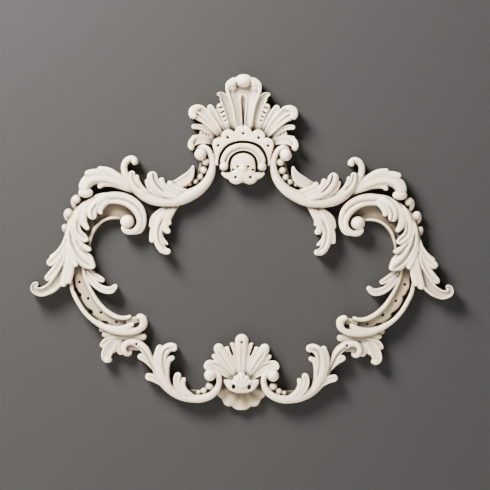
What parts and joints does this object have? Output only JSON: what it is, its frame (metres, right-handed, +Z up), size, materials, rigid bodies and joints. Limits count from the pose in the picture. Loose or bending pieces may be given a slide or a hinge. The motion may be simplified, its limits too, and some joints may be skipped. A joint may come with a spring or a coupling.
{
  "type": "rococo wall relief frame",
  "caption": "Cast rococo relief ornament: an open ring of acanthus scrolls with a palmette crest and a shell at its foot, flat-backed for a wall.",
  "frame": {"origin": "on the flat back of the crest, just above its arch, on the ornament's centre line", "axes": "+Z up, +X to the right seen from the front, -Y out of the wall towards the viewer; the back lies on Y = 0"},
  "size_m": [0.8493, 0.0429, 0.6743],
  "materials": {
    "plaster": "smooth matt warm white casting plaster or filled resin, a little darker and beiger in the hollows"
  },
  "bodies": {
    "root": {"rococo_frame": "plaster"}
  },
  "joints": []
}
